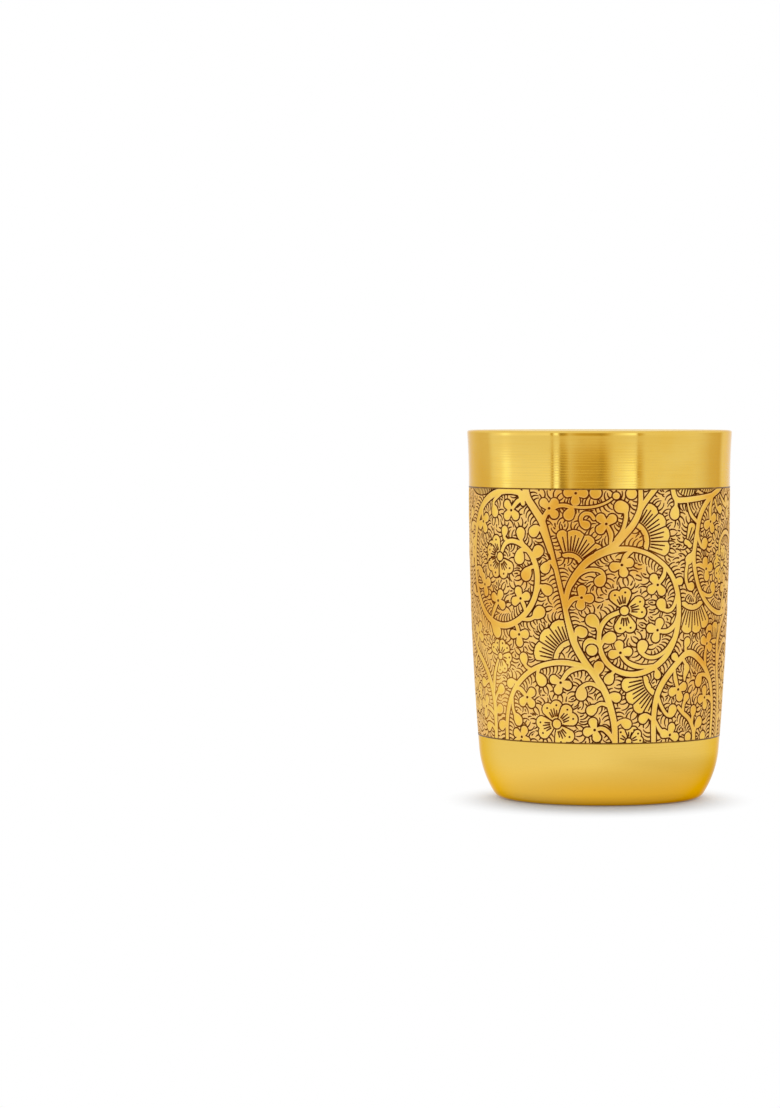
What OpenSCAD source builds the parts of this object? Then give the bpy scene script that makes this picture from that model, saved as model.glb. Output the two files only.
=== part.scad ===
// Brass tumbler: a drawn cup with a polished mouth and foot, and an etched
// sleeve let into its wall between two dark border lines.
// Millimetres, +Z up, origin at the middle of the face it stands on.

/* [Cup] */
// Outer diameter across the lip
mouth_d = 75; // [70:0.5:85]
// Height from the table to the top of the lip
cup_h = 104; // [98:0.5:125]
// Overhang of the lip beyond the upright wall
lip_flare = 0.5; // [0.2:0.1:2]
// Depth by which the wall draws in from the upright part to the shoulder
draw_in = 3; // [1.5:0.1:4]
// Height at which the shoulder begins
shoulder_h = 14; // [12:0.5:16]
// Depth by which the flat ring that it stands on lies in from the shoulder
foot_in = 6.7; // [6:0.1:9]
// Radius of the edge between the shoulder and the foot
foot_edge_r = 3; // [2.5:0.1:4]
// Height at which the wall stands upright
upright_h = 88; // [80:0.5:92]
// Height of the flared stretch under the lip
flare_h = 10; // [5:0.5:12]
// Thickness of the drawn wall and floor
wall = 1.2; // [1:0.1:1.6]

/* [Push-up in the base] */
// Width of the flat ring around the raised middle
ring_w = 4.3; // [3:0.1:10]
// Height of the raised middle above the table
dish_h = 0.8; // [0.4:0.1:1.5]
// Width of the sloping step around the raised middle
dish_step = 1.5; // [1:0.1:3]

/* [Etched band] */
// Height of the band's lower border line
band_low = 17.6; // [16.5:0.1:30]
// Height of the band's upper border line
band_high = 88.2; // [70:0.1:92]
// Thickness of the etched sleeve
sleeve_t = 0.5; // [0.4:0.05:0.6]
// Thickness of the solder film behind the sleeve
solder_t = 0.06; // [0.04:0.01:0.12]
// Slip clearance between the sleeve and the solder film
slip_t = 0.04; // [0.03:0.01:0.1]
// Width of the dark border lines
line_w = 0.4; // [0.3:0.05:0.8]
// Width of the sleeve's butt seam at the back
seam_w = 0.4; // [0.2:0.05:1]

/* [Hidden] */
$fn = 180;

brass = "#d9ab3e";
etched_brass = "#cf9f3a";
solder = "#c9a85a";
dark_lac = "#3a2410";

// Steps along each arc
edge_steps = 6;
shoulder_steps = 10;
barrel_steps = 18;
flare_steps = 6;
lip_steps = 8;

// Outer radii, stepping in from the mouth to the middle of the base
barrel_r = mouth_d / 2 - lip_flare;
shoulder_r = barrel_r - draw_in;
foot_r = shoulder_r - foot_in;
dish_r = foot_r - ring_w;
flare_low = cup_h - flare_h;
lip_r = wall / 2;
lip_h = cup_h - lip_r;
film_t = sleeve_t + slip_t;
recess_t = film_t + solder_t;

// Barrel arc: upright at upright_h, and passing through the top of the shoulder
barrel_drop = upright_h - shoulder_h;
barrel_arc_r = (barrel_drop ^ 2 + draw_in ^ 2) / (2 * draw_in);
barrel_arc_c = [barrel_r - barrel_arc_r, upright_h];
barrel_lean = asin(barrel_drop / barrel_arc_r);

// Foot edge: a fillet that lies on the table at foot_r
edge_c = [foot_r, foot_edge_r];

// Shoulder arc: tangent to the barrel arc above and to the foot edge below
shoulder_dz = shoulder_h - foot_edge_r;
shoulder_arc_r = (foot_in ^ 2 + shoulder_dz ^ 2 - foot_edge_r ^ 2)
    / (2 * (foot_in * cos(barrel_lean) - shoulder_dz * sin(barrel_lean) - foot_edge_r));
shoulder_arc_c = [shoulder_r - shoulder_arc_r * cos(barrel_lean),
                  shoulder_h + shoulder_arc_r * sin(barrel_lean)];
edge_lean = atan2(shoulder_arc_c.y - edge_c.y, edge_c.x - shoulder_arc_c.x);

// Heights that every ring of the band shares, so that the rings meet face to face
sleeve_heights = heights(band_low + line_w, band_high - line_w, barrel_steps);
band_heights = concat([band_low], sleeve_heights, [band_high]);

// Points of an arc from angle a0 to angle a1, both below the horizontal
function arc(c, r, a0, a1, steps) =
    [for (i = [0:steps]) let (a = a0 + (a1 - a0) * i / steps) [c.x + r * cos(a), c.y - r * sin(a)]];

// Radius of the skin that lies d beneath the outer surface, at a height on the barrel or above it
function skin_r(z, d) =
    z < upright_h ? barrel_arc_c.x + sqrt((barrel_arc_r - d) ^ 2 - (upright_h - z) ^ 2)
    : z < flare_low ? barrel_r - d
    : barrel_r - d + lip_flare * ((z - flare_low) / (lip_h - flare_low)) ^ 2;

// Evenly spaced heights, and the points of that skin at a list of heights
function heights(z0, z1, steps) = [for (i = [0:steps]) z0 + (z1 - z0) * i / steps];
function skin(zs, d) = [for (z = zs) [skin_r(z, d), z]];

// Foot edge and shoulder, d beneath the outer surface, from the table upwards
function foot_skin(d) = concat(
    arc(edge_c, foot_edge_r - d, 90, edge_lean, edge_steps),
    arc(shoulder_arc_c, shoulder_arc_r - d, edge_lean, barrel_lean, shoulder_steps));

// Height at which the shoulder hands over to the barrel, d beneath the outer surface
function handover(d) = shoulder_h + d * sin(barrel_lean);

function reversed(list) = [for (i = [len(list) - 1:-1:0]) list[i]];

// Base from the axis out to the foot ring, at a height above the table
function base_line(z) =
    [[0, z + dish_h], [dish_r - dish_step, z + dish_h], [dish_r, z]];

module cup_body() {
    outside = concat(
        base_line(0),
        foot_skin(0),
        skin(heights(handover(0), band_low, 2), 0),
        skin(band_heights, recess_t),
        skin([band_high], 0),
        skin(heights(flare_low, lip_h, flare_steps), 0));
    lip_c = [skin_r(lip_h, lip_r), lip_h];
    lip = arc(lip_c, lip_r, 0, -180, lip_steps);
    inside = concat(
        base_line(wall),
        foot_skin(wall),
        skin(heights(handover(wall), upright_h, barrel_steps), wall),
        skin(heights(flare_low, lip_h, flare_steps), wall));
    color(brass) rotate_extrude() polygon(concat(outside, lip, reversed(inside)));
}

// Profile of a ring in the band, over a list of heights and between two depths
module band_profile(zs, d0, d1) {
    polygon(concat(skin(zs, d0), reversed(skin(zs, d1))));
}

// Angle that the seam takes at the back, facing +Y
seam_angle = 360 * seam_w / (2 * PI * barrel_r);

module engraved_sleeve() {
    color(etched_brass) rotate([0, 0, 90 + seam_angle / 2]) rotate_extrude(angle = 360 - seam_angle)
        band_profile(sleeve_heights, 0, sleeve_t);
}

module sleeve_seam() {
    color(solder) rotate([0, 0, 90 - seam_angle / 2]) rotate_extrude(angle = seam_angle)
        band_profile(sleeve_heights, 0, sleeve_t);
}

module solder_film() {
    color(solder) rotate_extrude()
        band_profile(band_heights, film_t, recess_t);
}

module border_line(z0) {
    color(dark_lac) rotate_extrude() band_profile([z0, z0 + line_w], 0, sleeve_t);
}

module upper_border_line() {
    border_line(band_high - line_w);
}

module lower_border_line() {
    border_line(band_low);
}

cup_body();
engraved_sleeve();
sleeve_seam();
solder_film();
upper_border_line();
lower_border_line();
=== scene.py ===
import bpy
import numpy as np
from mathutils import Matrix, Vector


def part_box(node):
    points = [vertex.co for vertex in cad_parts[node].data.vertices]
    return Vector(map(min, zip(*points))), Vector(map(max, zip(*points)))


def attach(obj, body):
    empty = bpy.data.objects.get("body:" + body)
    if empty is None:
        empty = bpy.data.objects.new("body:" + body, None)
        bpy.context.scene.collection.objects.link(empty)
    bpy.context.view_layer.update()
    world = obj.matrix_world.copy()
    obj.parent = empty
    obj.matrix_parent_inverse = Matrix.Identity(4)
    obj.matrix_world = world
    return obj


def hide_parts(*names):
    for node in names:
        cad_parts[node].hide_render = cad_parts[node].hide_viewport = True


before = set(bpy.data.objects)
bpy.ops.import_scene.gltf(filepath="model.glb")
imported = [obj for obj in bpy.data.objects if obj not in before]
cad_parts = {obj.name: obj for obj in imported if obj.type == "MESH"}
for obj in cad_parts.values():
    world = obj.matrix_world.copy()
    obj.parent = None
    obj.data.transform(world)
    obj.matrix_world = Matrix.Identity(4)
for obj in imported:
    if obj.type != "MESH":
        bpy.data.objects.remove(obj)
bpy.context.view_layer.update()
scene = bpy.context.scene
scene.view_settings.view_transform = "Standard"
mm = 0.001
white = (1, 1, 1, 1)
print("frame loaded:", sorted(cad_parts))


# Shader maths: a Wire is a socket, and sums on it add Math nodes
class Wire:
    def __init__(self, finish, socket):
        self.finish, self.socket = finish, socket

    def maths(self, operation, *others):
        return self.finish.node("Math", dict(enumerate([self, *others])), operation=operation)

    def flipped(self, operation, first):
        return self.finish.node("Math", {0: first, 1: self}, operation=operation)

    def __add__(self, other):
        return self.maths("ADD", other)

    def __sub__(self, other):
        return self.maths("SUBTRACT", other)

    def __mul__(self, other):
        return self.maths("MULTIPLY", other)

    def __truediv__(self, other):
        return self.maths("DIVIDE", other)

    def __radd__(self, other):
        return self.flipped("ADD", other)

    def __rsub__(self, other):
        return self.flipped("SUBTRACT", other)

    def __rmul__(self, other):
        return self.flipped("MULTIPLY", other)


class Finish:
    # One node tree: any node by its type, its settings first, then a ramp's stops, then its sockets
    def __init__(self, tree):
        self.tree = tree
        tree.nodes.clear()

    def node(self, kind, sockets=None, out=0, stops=(), **settings):
        made = self.tree.nodes.new("ShaderNode" + kind)
        for name, value in settings.items():
            setattr(made, name, value)
        ramp = made.color_ramp.elements if stops else ()
        while len(ramp) < len(stops):
            ramp.new(1)
        for stop, (place, colour) in zip(ramp, stops):
            stop.position, stop.color = place, colour
        for name, value in (sockets or {}).items():
            if isinstance(value, Wire):
                self.tree.links.new(value.socket, made.inputs[name])
            else:
                made.inputs[name].default_value = value
        return Wire(self, made.outputs[out]) if made.outputs else made

    def place(self):
        return self.node("TexCoord", out="Object")

    def axis(self, vector, number):
        return self.node("SeparateXYZ", {0: vector}, number)

    def attribute(self, name):
        return self.node("Attribute", out="Fac", attribute_name=name)

    def rays(self):
        # 1 for a ray that a mirror threw, 1 for a ray that a matt surface threw before, 1 for the camera's own ray
        path = lambda name: self.node("LightPath", out=name)
        mirrored = path("Is Glossy Ray") + path("Is Transmission Ray")
        return mirrored, path("Diffuse Depth").maths("MINIMUM", 1.0), path("Is Camera Ray")

    def mix(self, factor, first, second):
        # Colour mix: first where the factor is 0, second where it is 1
        return self.node("Mix", {0: factor, 6: first, 7: second}, 2, data_type="RGBA")

    def ramp(self, value, low, high, most=1.0):
        # Smooth step of a value between two limits, from 0 to the most
        return self.node("MapRange", {0: value, 1: low, 2: high, 4: most}, interpolation_type="SMOOTHSTEP")

    def noise(self, place, scale, detail=2.0, rough=0.5):
        return self.node("TexNoise", {"Vector": place, "Scale": scale, "Detail": detail, "Roughness": rough})

    def close(self, shader, kind="OutputMaterial"):
        self.node(kind, {"Surface": shader})

    def metal(self, height, strength, depth, sockets):
        # The last nodes of a metal: a bump from a height, and the surface
        bump = self.node("Bump", {"Strength": strength, "Distance": depth, "Height": height})
        self.close(self.node("BsdfPrincipled", {**sockets, "Normal": bump}))


def newMaterial(name):
    material = bpy.data.materials.new(name)
    material.use_nodes = True
    return material, Finish(material.node_tree)


# Camera just over a metre from the cup, a little higher than its lip
cameraSet = {
    "place": (0.0, -1.124, 0.1114),
    "sensor": 36.0,
    "lens": 128.6,
    "turn": 3.026,
    "tilt": -2.171,
}
cameraData = bpy.data.cameras.new("camera")
cameraData.sensor_width = cameraSet["sensor"]
cameraData.lens = cameraSet["lens"]
camera = bpy.data.objects.new("camera", cameraData)
camera.location = cameraSet["place"]
camera.rotation_euler = np.radians([90 + cameraSet["tilt"], 0, cameraSet["turn"]])
scene.collection.objects.link(camera)
scene.camera = camera
print("camera set")


# Studio: softboxes at both sides with darker gaps beside them, a dim room on the camera's side, white behind.
# Each pair is where a smooth step begins and ends, and a third value is how far it goes.
studio = {
    # degrees round from the camera's side, level there
    "levels": [
        (-180, 1.0), (-146, 0.95), (-127, 0.86), (-114, 0.86), (-105, 1.05), (-97, 1.16), (-90, 1.52), (-86, 1.42),
        (-82, 1.15), (-70, 1.07), (-43, 1.12), (-41.8, 0.55), (-40.4, 0.6), (-39, 1.6), (-36, 1.6), (-34.6, 0.42),
        (-30.5, 0.52), (-26, 0.88), (-18, 0.71), (-1, 0.61), (2, 0.46), (9, 0.85), (19, 1.24), (29, 1.6),
        (31.5, 1.55), (33.5, 0.62), (41, 1.02), (92, 1.0), (114, 0.82), (130, 0.79), (138, 1.04), (180, 1.0)],
    "peak": 1.6,
    "boxEnd": (0.048, 0.08, 0.75),
    "upward": (0.0, 0.14),
    "downward": (0.055, 0.14, 0.85),
    "under": 0.94,
    "backLight": 0.9,
    "warm": (1.0, 0.77, 0.27, 1),
    "warmLevels": (0.68, 1.02),
    "cool": (0.9, 1.0, 1.1, 1),
    "coolLevels": (1.08, 1.4),
}


def lightStudio(s):
    # Level round the horizon from a ramp, blending to 1 above it and to an even level below; the camera sees white
    world = bpy.data.worlds.new("studio")
    scene.world = world
    world.use_nodes = True
    w = Finish(world.node_tree)
    direction = w.node("TexCoord", out="Generated")
    x, y, z = [w.axis(direction, number) for number in range(3)]
    turn = x.maths("ARCTAN2", 0 - y) / (2 * np.pi) + 0.5
    stops = [(a / 360 + 0.5, [v / s["peak"]] * 3 + [1]) for a, v in s["levels"]]
    around = w.node("ValToRGB", {0: turn}, stops=stops) * s["peak"]
    boxes = around.maths("MAXIMUM", 1.0) - 1  # the softboxes are brighter than 1, and end just below the horizon
    around = around.maths("MINIMUM", 1.0) + boxes * (1 - w.ramp(0 - z, *s["boxEnd"]))
    up, down = w.ramp(z, *s["upward"]), w.ramp(0 - z, *s["downward"])
    glossy = around * (1 - up - down) + up + down * s["under"]
    mirrored, bounced, seen = w.rays()  # the brass throws no light on the floor, so bounced rays find none
    level = glossy * mirrored * (1 - bounced) + (1 - mirrored) * (1 + y * s["backLight"])
    level = level * (1 - seen) + seen
    dim = (1 - w.ramp(glossy, *s["warmLevels"])) * mirrored
    bright = w.ramp(glossy, *s["coolLevels"]) * mirrored
    colour = w.mix(bright, w.mix(dim, white, s["warm"]), s["cool"])
    w.close(w.node("Background", {"Color": colour, "Strength": level}), "OutputWorld")


# Floor: a pale disc; the pairs are distances from the cup's middle in metres
floorSet = {
    "radius": 0.4,
    "sides": 128,
    "colour": (0.97, 0.97, 0.97, 1),
    "speck": (0.7, 0.7, 0.7, 1),
    "speckScale": 40.0,
    "speckShare": 0.02,
    "glow": 0.05,
    "gloss": 0.68,
    "contact": (0.0285, 0.0335),
    "contactGloss": 0.4,
    "shade": (0.83, 0.79, 0.65, 1),
    "shadeSide": (-0.01, 0.05),
    "shadeNear": (0.045, 0.12),
    "fade": (0.028, 0.054),
    "fadeShift": (0, 0.01, 0),
    "fadeScale": (1.2, 1, 1),
}


def layFloor(p):
    # Matt and shadowed beside the cup, plain white away from it, and in the cup's mirror a painted shade near the cup,
    # most at the right
    a = np.arange(p["sides"]) * 2 * np.pi / p["sides"]
    rim = p["radius"] * np.column_stack([np.cos(a), np.sin(a), 0 * a])
    mesh = bpy.data.meshes.new("floor")
    mesh.from_pydata(rim.tolist(), [], [list(range(p["sides"]))])
    floor = bpy.data.objects.new("floor", mesh)
    scene.collection.objects.link(floor)
    material, f = newMaterial("paleFloor")
    place = f.place()
    length = lambda vector: f.node("VectorMath", {0: vector}, "Value", operation="LENGTH")
    away = length(place)
    mirrored, bounced, seen = f.rays()
    mirrored = mirrored * (1 - bounced)
    # less of the even glow in the cup's mirror near the contact, so more of the floor's own shadow shows there
    gloss = p["gloss"] * (p["contactGloss"] + f.ramp(away, *p["contact"], 1 - p["contactGloss"]))
    lit = seen * p["glow"] + mirrored * gloss
    moved = f.node("Mapping", {"Vector": place, "Location": p["fadeShift"], "Scale": p["fadeScale"]})
    glow = lit + (1 - lit) * f.ramp(length(moved), *p["fade"]) * (seen + mirrored)
    # painted shade: in the cup's mirror the floor's glow is dimmed and browned near the cup, most at the right
    shaded = mirrored * (1 - f.ramp(away, *p["shadeNear"])) * f.ramp(f.axis(place, 0), *p["shadeSide"])
    shine = f.node("Emission", {"Color": f.mix(shaded, white, p["shade"]), "Strength": 1.0})
    tone = f.mix(f.noise(place, p["speckScale"]) * p["speckShare"], p["colour"], p["speck"])
    matt = f.node("BsdfDiffuse", {"Color": tone})
    f.close(f.node("MixShader", {0: glow, 1: matt, 2: shine}))
    mesh.materials.append(material)


lightStudio(studio)
layFloor(floorSet)
print("studio and floor set")


# Outer shape of the cup, in millimetres, the same steps in from the mouth as the solid has.
# Only the lip's flare begins 5 mm lower than the solid's, whose flare is 10 mm high.
cupForm = {
    "mouthD": 75.0,
    "cupH": 104.0,
    "lipFlare": 0.5,
    "drawIn": 3.0,
    "shoulderH": 14.0,
    "footIn": 6.7,
    "footEdgeR": 3.0,
    "uprightH": 88.0,
    "flareH": 15.0,
    "wall": 1.2,
    "ringW": 4.3,
    "dishH": 0.8,
    "dishStep": 1.5,
    "recess": 0.6,
    "bandLow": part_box("lower_border_line")[0].z / mm,
    "bandHigh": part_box("upper_border_line")[1].z / mm,
    "lineW": (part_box("upper_border_line")[1].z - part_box("upper_border_line")[0].z) / mm,
    "sleeveT": 0.5,
    "dishRings": (0, 0.3, 0.6, 0.85),
    # points along each stretch of the profile
    "count": {"edge": 12, "bend": 24, "low": 5, "band": 25, "neck": 8, "flare": 16, "lip": 17, "inner": 36},
    "segments": 360,
    "sharp": 25,
}


class CupProfile:
    # Barrel and shoulder are two circle arcs that meet in a shared tangent; the lip flares by a parabola
    def __init__(self, c):
        self.c = c
        self.barrelR = c["mouthD"] / 2 - c["lipFlare"]
        self.shoulderR = self.barrelR - c["drawIn"]
        self.footR = self.shoulderR - c["footIn"]
        drop = c["uprightH"] - c["shoulderH"]
        self.arcR = (drop**2 + c["drawIn"]**2) / (2 * c["drawIn"])
        self.lean = np.arcsin(drop / self.arcR)
        rise = c["shoulderH"] - c["footEdgeR"]
        self.bendR = (c["footIn"]**2 + rise**2 - c["footEdgeR"]**2) / (
            2 * (c["footIn"] * np.cos(self.lean) - rise * np.sin(self.lean) - c["footEdgeR"]))
        self.bendC = (self.shoulderR - self.bendR * np.cos(self.lean), c["shoulderH"] + self.bendR * np.sin(self.lean))
        self.edgeLean = np.arctan2(self.bendC[1] - c["footEdgeR"], self.footR - self.bendC[0])
        self.flareLow = c["cupH"] - c["flareH"]
        self.lipH = c["cupH"] - c["wall"] / 2

    def radius(self, z, deep=0.0):
        # Radius at a height on the barrel or above it, a given depth beneath the outer surface
        z = np.asarray(z, float)
        drop = self.c["uprightH"] - np.minimum(z, self.c["uprightH"])
        barrel = self.barrelR - self.arcR + np.sqrt((self.arcR - deep)**2 - drop**2)
        flare = self.c["lipFlare"] * (np.maximum(z - self.flareLow, 0) / (self.lipH - self.flareLow))**2
        return barrel + flare

    def rise(self, z0, z1, count, deep=0.0):
        # Points of that skin at even heights from one height to another
        z = np.linspace(z0, z1, count)
        return np.column_stack([self.radius(z, deep), z])

    def arc(self, centre, r, a0, a1, count):
        # Points of a circle between two angles, both below the horizontal
        a = np.linspace(a0, a1, count)
        return np.column_stack([centre[0] + r * np.cos(a), centre[1] - r * np.sin(a)])

    def foot(self, deep):
        # The edge that it stands on, a fillet, and the bend of the shoulder above it
        edgeR, n = self.c["footEdgeR"], self.c["count"]
        edge = self.arc((self.footR, edgeR), edgeR - deep, np.pi / 2, self.edgeLean, n["edge"])
        bend = self.arc(self.bendC, self.bendR - deep, self.edgeLean, self.lean, n["bend"])
        return np.vstack([edge, bend[1:]])

    def base(self, lift):
        # The raised middle from the axis outwards, and the slope down to the ring that it stands on
        dishR, high = self.footR - self.c["ringW"], lift + self.c["dishH"]
        return np.array([[dishR * share, high] for share in self.c["dishRings"]]
                        + [[dishR - self.c["dishStep"], high], [dishR, lift]])

    def cup(self):
        # Up the outside, with the recess for the sleeve, over the round lip, and down the inside
        c, n, wall = self.c, self.c["count"], self.c["wall"]
        handover = lambda deep: c["shoulderH"] + deep * np.sin(self.lean)
        low, high, flareLow, lipH = c["bandLow"], c["bandHigh"], self.flareLow, self.lipH
        lipC = (float(self.radius(lipH, wall / 2)), lipH)
        return np.vstack([
            self.base(0), self.foot(0),
            self.rise(handover(0), low, n["low"])[1:],
            self.rise(low, high, n["band"], c["recess"]),
            self.rise(high, flareLow, n["neck"]),
            self.rise(flareLow, lipH, n["flare"])[1:],
            self.arc(lipC, wall / 2, 0, -np.pi, n["lip"])[1:],
            self.rise(lipH, flareLow, n["flare"], wall)[1:],
            self.rise(flareLow, handover(wall), n["inner"], wall)[1:],
            self.foot(wall)[::-1][1:], self.base(wall)[::-1]])


def makeMesh(name, points, faceGroups, sharpest):
    # A mesh from its points and from arrays of faces, one array for each count of corners
    mesh = bpy.data.meshes.new(name)
    corners = np.concatenate([group.ravel() for group in faceGroups]).astype(np.int32)
    sizes = np.concatenate([np.full(len(group), group.shape[1]) for group in faceGroups])
    mesh.vertices.add(len(points))
    mesh.vertices.foreach_set("co", np.ascontiguousarray(points, np.float32).ravel())
    mesh.loops.add(len(corners))
    mesh.loops.foreach_set("vertex_index", corners)
    mesh.polygons.add(len(sizes))
    mesh.polygons.foreach_set("loop_start", np.concatenate([[0], np.cumsum(sizes)[:-1]]).astype(np.int32))
    mesh.polygons.foreach_set("use_smooth", np.ones(len(sizes), bool))
    mesh.update(calc_edges=True)
    mesh.set_sharp_from_angle(angle=np.radians(sharpest))
    return mesh


def addValues(mesh, name, values):
    mesh.attributes.new(name, "FLOAT", "POINT").data.foreach_set("value", values.astype(np.float32))


def addPiece(name, mesh, slot, material, *nodes):
    piece = bpy.data.objects.new(name, mesh)
    scene.collection.objects.link(piece)
    mesh.materials.append(material)
    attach(piece, "root")
    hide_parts(*nodes)


def turned(r, z, angle):
    # Points at radii and heights round the axis: a row for each height, a column for each angle
    x, y, z = np.broadcast_arrays(r * np.cos(angle), r * np.sin(angle), z[:, None])
    return np.stack([x, y, z], -1).reshape(-1, 3)


def gridFaces(start, rows, columns, across):
    # Four-sided faces between rows and columns of points, so many across; after the last column comes the first
    r, s = np.meshgrid(np.arange(rows - 1), np.arange(across), indexing="ij")
    at = lambda i, j: (start + i * columns + j % columns).reshape(-1)
    return np.column_stack([at(r, s), at(r, s + 1), at(r + 1, s + 1), at(r + 1, s)])


def lathe(name, profile, segments, sharpest):
    # A profile carried round the axis: its first and last points lie on the axis and become single points
    ring = profile[1:-1]
    n, s = len(ring), np.arange(segments)
    wall = turned(ring[:, :1], ring[:, 1], s * 2 * np.pi / segments)
    points = np.vstack([wall, [[0, 0, profile[0, 1]], [0, 0, profile[-1, 1]]]]) * mm
    t, middle, top = (s + 1) % segments, 0 * s + n * segments, (n - 1) * segments
    first, last = np.column_stack([middle, t, s]), np.column_stack([middle + 1, top + s, top + t])
    mesh = makeMesh(name, points, [gridFaces(0, n, segments, segments), first, last], sharpest)
    inside = np.repeat(np.arange(n) > np.argmax(ring[:, 1]), segments)  # beyond the top of the lip
    addValues(mesh, "inside", np.append(inside, [0, 1]))
    return mesh


# Polished brass: faint turning lines round the wall, a little handling haze, and a satin inside
polish = {
    "brass": (0.80, 0.54, 0.095, 1),
    "warm": (0.77, 0.46, 0.035, 1),
    "bare": (0.85, 0.585, 0.135, 1),
    "footShadeGold": (0.95, 0.50, 0.02, 1),
    "lining": (0.90, 0.73, 0.40, 1),
    "edge": (0.87, 0.65, 0.29, 1),
    # noises: scale, detail and roughness
    "clouds": (45.0, 4.0),
    "grain": (420.0, 2.0),
    "streaks": (1.0, 3.0, 0.6),
    "brushing": (60.0, 60.0, 2600.0),
    # smooth steps: where each begins and ends, and how far it goes
    "cloudWarm": (0.38, 0.66, 0.5),
    "streakWarm": (0.42, 0.66, 0.2),
    "coated": (2 * mm, 60 * mm),
    "footShadeRise": (1 * mm, 14 * mm),
    "footShadeSide": (-24 * mm, 0 * mm, 0.38),
    "haze": (0.85, 1.25, 0.05),
    "lineFade": (92 * mm, 102 * mm, 0.9),
    "lineBreak": (0.4, 0.62, 1.2),
    "bareMost": 0.8,
    "footShadeLeast": 0.5,
    "rough": 0.05,
    "streakRough": 0.04,
    "satin": 0.24,
    "lineStep": 0.75 * mm,
    "lineDepth": 0.0045 * mm,
    "lineSharp": 4.0,
    "lineLeast": 0.4,
    "coat": 0.6,
    "coatRough": 0.08,
}


def polishedBrass(p):
    # Warmer in clouds and streaks, barer towards the foot, paler inside; low on the foot a painted shade of deeper
    # orange, least at the left.
    # Height of the turning lines: a sharpened sine of the height above the table, fading towards the lip.
    material, f = newMaterial("polishedBrass")
    place = f.place()
    x, z = f.axis(place, 0), f.axis(place, 2)
    cloud, fine = f.noise(place, *p["clouds"]), f.noise(place, *p["grain"])
    streak = f.noise(f.node("Mapping", {"Vector": place, "Scale": p["brushing"]}), *p["streaks"])
    inside = f.attribute("inside")
    coated = f.ramp(z, *p["coated"])
    # painted shade: low on the foot the brass turns a deeper orange, least at the left, standing for the shadowed
    # floor that it mirrors
    low = (1 - f.ramp(z, *p["footShadeRise"])) * (1 - inside)
    tint = f.mix(f.ramp(cloud, *p["cloudWarm"]) + f.ramp(streak, *p["streakWarm"]), p["brass"], p["warm"])
    tint = f.mix((1 - coated) * (1 - inside) * p["bareMost"], tint, p["bare"])
    tint = f.mix(low * (p["footShadeLeast"] + f.ramp(x, *p["footShadeSide"])), tint, p["footShadeGold"])
    tint = f.mix(inside, tint, p["lining"])
    rough = p["rough"] + f.ramp(fine + cloud, *p["haze"]) + p["streakRough"] * streak + p["satin"] * inside
    groove = (0.5 + 0.5 * (z * (2 * np.pi / p["lineStep"])).maths("SINE")).maths("POWER", p["lineSharp"])
    lines = groove * (1 - f.ramp(z, *p["lineFade"])) * (p["lineLeast"] + f.ramp(streak, *p["lineBreak"]))
    f.metal(lines, 1.0, p["lineDepth"], {
        "Base Color": tint, "Metallic": 1.0, "Roughness": rough, "Specular Tint": p["edge"],
        "Coat Weight": p["coat"] * coated * (1 - inside), "Coat Roughness": p["coatRough"]})
    return material


shape = CupProfile(cupForm)
cupMesh = lathe("cupBody", shape.cup(), cupForm["segments"], cupForm["sharp"])
addPiece("cupBody", cupMesh, "polished_brass", polishedBrass(polish), "cup_body")
print("cup turned")


# Etched ornament, drawn on the wall as if it were unrolled: u runs round it and z up it, in millimetres.
# One panel covers half of the way round, its two ends meet, and u is 0 at the front.
ornament = {
    "panelLength": np.pi * 36.3,
    "lowZ": cupForm["bandLow"] + cupForm["lineW"],
    "highZ": cupForm["bandHigh"] - cupForm["lineW"],
    "columns": 760,
    "rows": 466,
    "far": 99.0,
    "spread": 7.0,
    "outline": 0.36,
    "outlineVary": 0.18,
    "softness": 0.09,
    "groundSoft": 0.1,
    "hatchSoft": 0.05,
    "driftSeed": 1.3,
    "dropHalves": (0.4, 0.6, 0.9),
    "trefoilDot": 0.36,
    "flowerMiddle": 0.19,
    "patchVary": 0.3,
    # strength of the painted highlight beside the lac lines
    "haloHighlight": 2.4,
    "cutDepth": 0.2,
    "groundDepth": 0.06,
    "crown": 0.05,
    "crownWidth": 1.2,
}

# Hatching of the ground: strokes from rows of rails round the motifs, then from a lattice where room is left
hatching = {
    "rows": 4,
    "rowStep": 1.95,
    "railGap": 0.12,
    "railSlack": 0.25,
    "pitch": 1.14,
    "lattice": 0.7,
    "latticeGap": 0.3,
    "turnSeed": 5.1,
    "steps": 7,
    "fewest": 3,
    "reach": 1.2,
    "vary": 0.15,
    "varySeed": 2.7,
    "curl": 56,
    "half": 0.192,
    "taper": (1.15, 0.55),
    "bolder": 0.16,
    "bolderAt": (18, 34, 50, 57),
    "endGap": 0.06,
    "clear": 0.46,
    "startClear": 0.62,
}

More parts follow.
